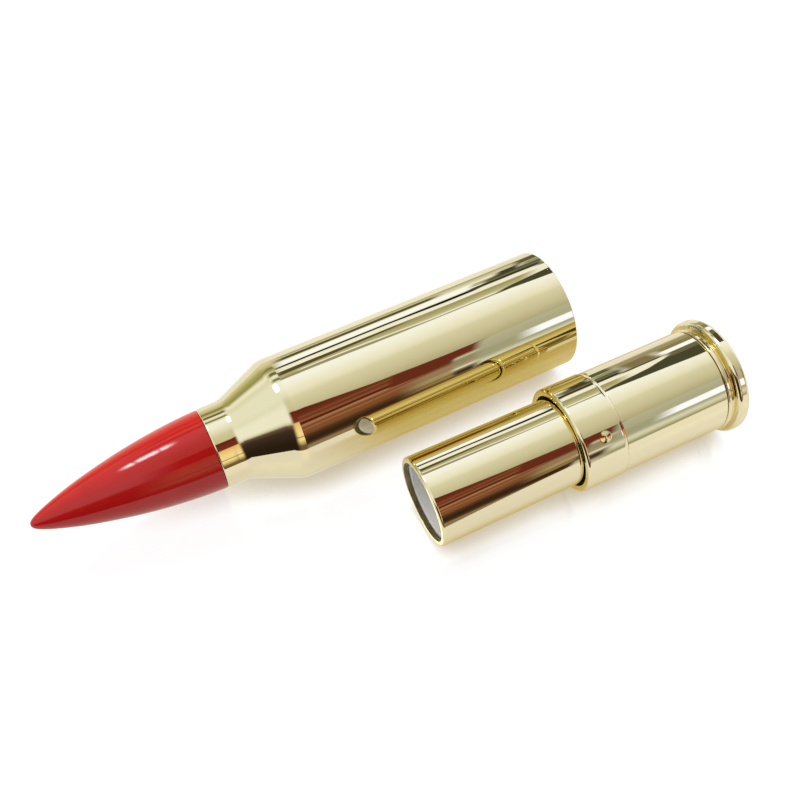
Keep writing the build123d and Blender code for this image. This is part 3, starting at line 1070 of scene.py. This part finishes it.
def high_cards():
    """The ceiling with its cards and gaps."""
    edge = slope((0.18, 123.2), (0.30, 119.2)) + slope((0.385, 0.0), (0.46, -7.2))
    late = slope((0.235, 3.0), (0.30, 0.0))
    seen = by_angle(HIGH)
    shelf_end = slope((0.25, 141.5), (0.32, 138.9))
    seen = add_cards(seen, [(by_angle(SHELF), edge, shelf_end, 0.12, 0.40, 0.6, 0.012)])
    # a dark line and a bright one along the shelf's edge, neither fully opaque
    line = window(edge, edge + 2.0 + late, 0.12, 0.385, soft=0.4)
    seen = sky.mix(line * 0.8, seen, half_light((138, 128, 92)))
    line = window(edge + 2.4 + late, edge + 5.0 + late, 0.16, 0.392, soft=0.4)
    seen = sky.mix(line * 0.9, seen, half_light((240, 233, 204)))
    gap_lo = slope((0.15, 133.5), (0.24, 136.2))
    gap_hi = slope((0.15, 142.0), (0.24, 140.6))
    middle = slope((0.19, 153.0), (0.25, 152.4)) + slope((0.25, 0.0), (0.31, -2.4))
    half = slope((0.26, 2.2), (0.32, 3.0))
    slant = slope((0.34, 148.8), (0.40, 147.6))
    wide = slope((0.375, 4.2), (0.422, 15.5)) + slope((0.422, 0.0), (0.459, 17.5))
    return add_cards(seen, [
        ((84, 74, 36), gap_lo, gap_hi, 0.10, 0.268, 0.8, 0.02),
        ((20, 16, 10), middle - half, middle + half, 0.08, 0.345),
        ((176, 171, 126), 157.6, 166.0, 0.336, 0.372, 1.0),
        ((60, 57, 36), slant, 155.4, 0.335, 0.408, 0.7),
        ((97, 92, 60), 155.4, 163.0, 0.350, 0.412, 0.8),
        ((68, 60, 34), 160.0, 172.0, 0.361, 0.384, 1.0),
        ((144, 139, 99), 163.0, 170.4, 0.386, 0.412, 0.8),
        ((94, 89, 52), 171.6, 186.0, 0.380, 0.413, 0.9),
        ((88, 78, 38), 170.2, 178.4, 0.12, 0.30, 1.0, 0.01),
        ((72, 68, 44), edge, edge + wide, 0.372, 0.62, 0.5),
        ((72, 64, 36), 145.0, 149.4, 0.404, 0.444, 0.7),
        ((128, 113, 74), 149.4, 170.0, 0.412, 0.444, 0.8),
        ((158, 142, 100), 169.0, 182.0, 0.413, 0.62, 0.9),
        ((106, 99, 70), 136.0, 147.6, 0.445, 0.62, 0.8),
        ((255, 254, 238), 148.0, 157.6, 0.446, 0.57, 0.8),
        ((138, 122, 78), 158.6, 170.0, 0.446, 0.62, 0.9),
    ])


def low_cards():
    """The cards near the -y horizon, with fine streaks."""
    low = by_angle(LOW_FIRST)
    for stops, begin, end in (
        (LOW_SECOND, 0.288, 0.328), (LOW_THIRD, 0.348, 0.356), (LOW_LAST, 0.368, 0.384),
    ):
        low = sky.mix(sky.step(row_x, begin, end), low, by_angle(stops))
    streak = sky.noise(sky.flat(row_x * 5.0, angle * 1.1), detail=4, rough=0.6)
    strength = sky.step(row_x, 0.37, 0.33)
    low = sky.scale(low, 1.0 + (streak - 0.5) * strength * 2.0)
    rise = slope((0.325, 30.5), (0.345, 32.5)) + slope((0.345, 0.0), (0.375, 14.5))
    return add_cards(low, [
        ((255, 254, 250), 18.6, 31.0, 0.428, 0.64, 1.4, 0.016),
        ((103, 44, 25), rise, 64.0, 0.285, 0.385, 0.6, 0.004),
        ((112, 50, 28), 24.0, 60.0, 0.58, 0.84, 1.5, 0.02),
        ((205, 140, 80), 8.0, 24.0, 0.58, 0.90, 1.5, 0.02),
    ])


def lamps():
    """Three bright lamp edges in a row."""
    lamp = window(108.0, 118.5, -0.340, -0.138, soft=6.0, soft_x=0.035)
    lamp = sky.math("POWER", lamp, 1.6)
    gap = sky.math("MAXIMUM", window(90.0, 140.0, -0.292, -0.274, soft=1.0, soft_x=0.008),
                   window(90.0, 140.0, -0.200, -0.188, soft=1.0))
    return lamp * (1.0 - gap * 0.75)


def reflections():
    low_top = slope((0.19, 60.5), (0.27, 51.2)) + slope((0.27, 0.0), (0.345, -3.6))
    seen = sky.mix(sky.step(low_top - angle, -0.5, 0.5), high_cards(), low_cards())
    nose = sky.mix(sky.step(row_x, -0.35, -0.10), by_angle(NOSE_FAR), by_angle(NOSE_NEAR))
    seen = sky.scale(sky.mix(sky.step(row_x, 0.12, 0.14), nose, seen), 2.0)
    seen = sky.mix(lamps(), seen, (26.0, 26.0, 25.8))
    below = sky.math("MAXIMUM", sky.math("LESS_THAN", angle, -25.0),
                     sky.math("GREATER_THAN", angle, 200.0))
    return sky.mix(below, seen, WHITE)


def matt_light():
    """Light on matt surfaces: soft, from above and +y, with some from -x."""
    def facing(value):
        return sky.math("POWER", sky.math("MAXIMUM", value, 0.0), 2.0)

    key = facing(sky.vector("DOT_PRODUCT", direction, (0.0, 0.65, 0.76), "Value"))
    side = facing(row_x * -1.0)
    return sky.scale(WHITE, key * 2.45 + 0.15 + side * 0.9)


def build_sky():
    seen = reflections()
    ray_depth, diffuse, singular, camera_ray = sky.values(
        "ShaderNodeLightPath", ("Ray Depth", "Is Diffuse Ray", "Is Singular Ray", "Is Camera Ray"))
    # between the two metal pieces the light has already turned deeper gold
    again = sky.math("GREATER_THAN", ray_depth, 2.5)
    seen = sky.mix(again, seen, sky.vector("MULTIPLY", seen, (0.84, 0.71, 0.37)))
    light = sky.mix(diffuse, seen, matt_light())
    light = sky.mix(singular, light, WHITE)
    light = sky.mix(camera_ray, light, WHITE)
    background = sky.value("ShaderNodeBackground", {0: light, 1: 1.0})
    sky.node("ShaderNodeOutputWorld", {0: background})


build_sky()
world.cycles.sampling_method = "NONE"

# ---------------------------------------------------------------------------
# Floor, in metres
# ---------------------------------------------------------------------------

FLOOR_HALF, FLOOR_Z = 2.5, -1e-5
floor = mesh_object(
    "floor",
    [(x * FLOOR_HALF, y * FLOOR_HALF, FLOOR_Z) for x, y in ((-1, -1), (1, -1), (1, 1), (-1, 1))],
    [(0, 1, 2, 3)],
)


def pale_floor():
    """Pale and matt, with a faint shine and painted contact shade; metal sees it painted warmer,
    and sees it end.
    """
    mat, net = start("pale_floor")
    at = net.value("ShaderNodeTexCoord", output="Object")
    x, y, _ = net.xyz(at)
    camera_ray, glossy, singular = net.values(
        "ShaderNodeLightPath", ("Is Camera Ray", "Is Glossy Ray", "Is Singular Ray"))
    tone = net.fit(net.noise(at, scale=9.0, detail=3.0, rough=0.6), (0.3, 0.7), to=(0.925, 0.935))
    tint = net.vector("MULTIPLY", (1.0, 0.997, 1.004), net.scale(WHITE, tone))
    matt = net.value("ShaderNodeBsdfDiffuse", {0: tint})
    # painted shade: close under the metal the floor's glow darkens by occlusion and takes the
    # gold's colour
    shade = {0: (1, 1, 1, 1), "Distance": 7 * MM}
    openness = net.value("ShaderNodeAmbientOcclusion", shade, "AO", samples=8)
    painted_contact_shade = net.step(openness, 0.80, 0.25)
    glow = net.mix(painted_contact_shade * 0.85, (1.14, 1.14, 1.14), (0.50, 0.40, 0.23))
    # painted reflected light: as the metal sees it, the floor is deeper gold between the two
    # units, for light bounced off the gold
    between = net.step(y, -0.030, -0.018) * net.step(y, 0.022, 0.012)
    between = between * net.step(x, -0.014, 0.008)
    painted_gold_bounce = net.mix(between, (0.97, 0.94, 0.86), (0.70, 0.55, 0.19))
    glow = net.mix(glossy, glow, painted_gold_bounce)
    lift = net.value("ShaderNodeEmission", {0: glow, 1: 1.0})
    share = camera_ray * 0.965 + glossy * 0.78
    soft = net.value("ShaderNodeMixShader", {0: share, 1: matt, 2: lift})
    shine = net.value("ShaderNodeBsdfGlossy", {0: (1, 1, 1, 1), "Roughness": 0.16})
    both = net.value("ShaderNodeMixShader", {0: 0.13, 1: soft, 2: shine})
    # polished metal sees where the floor ends, at -y along a slant and at +y
    front = net.math("MINIMUM", -0.066 - (x - 0.017) * 1.25, -0.056)
    end = net.math("MAXIMUM", net.step(y - front, 0.003, -0.003), net.step(y, 0.160, 0.170))
    end = end * glossy * (1.0 - singular)
    backfacing = net.value("ShaderNodeNewGeometry", output="Backfacing")
    hidden = net.math("MAXIMUM", backfacing, end)
    clear = net.value("ShaderNodeBsdfTransparent")
    surface = net.value("ShaderNodeMixShader", {0: hidden, 1: both, 2: clear})
    net.node("ShaderNodeOutputMaterial", {0: surface})
    return mat


floor.data.materials.append(pale_floor())

# ---------------------------------------------------------------------------
# Camera: angles in radians, place and lens in millimetres
# ---------------------------------------------------------------------------

AZIMUTH, DIP, ROLL = 0.43132166509, 0.94803824323, -0.02026973068
CAMERA_PLACE = (-36.43846, -85.93085, 151.33872)


def build_camera():
    ahead = Vector((math.sin(AZIMUTH) * math.cos(DIP), math.cos(AZIMUTH) * math.cos(DIP),
                    -math.sin(DIP)))
    level = Vector((math.cos(AZIMUTH), -math.sin(AZIMUTH), 0))
    upright = level.cross(ahead)
    right = math.cos(ROLL) * level + math.sin(ROLL) * upright
    up = -math.sin(ROLL) * level + math.cos(ROLL) * upright
    camera = bpy.data.objects.new("camera", bpy.data.cameras.new("camera"))
    scene.collection.objects.link(camera)
    matrix = columns(right, up, -ahead)
    matrix.translation = [c * MM for c in CAMERA_PLACE]
    camera.matrix_world = matrix
    camera.data.sensor_width = 36.0
    camera.data.lens = 44.262675
    camera.data.clip_start = 0.005
    camera.data.clip_end = 20.0
    scene.camera = camera


build_camera()
scene.view_settings.view_transform = "Standard"
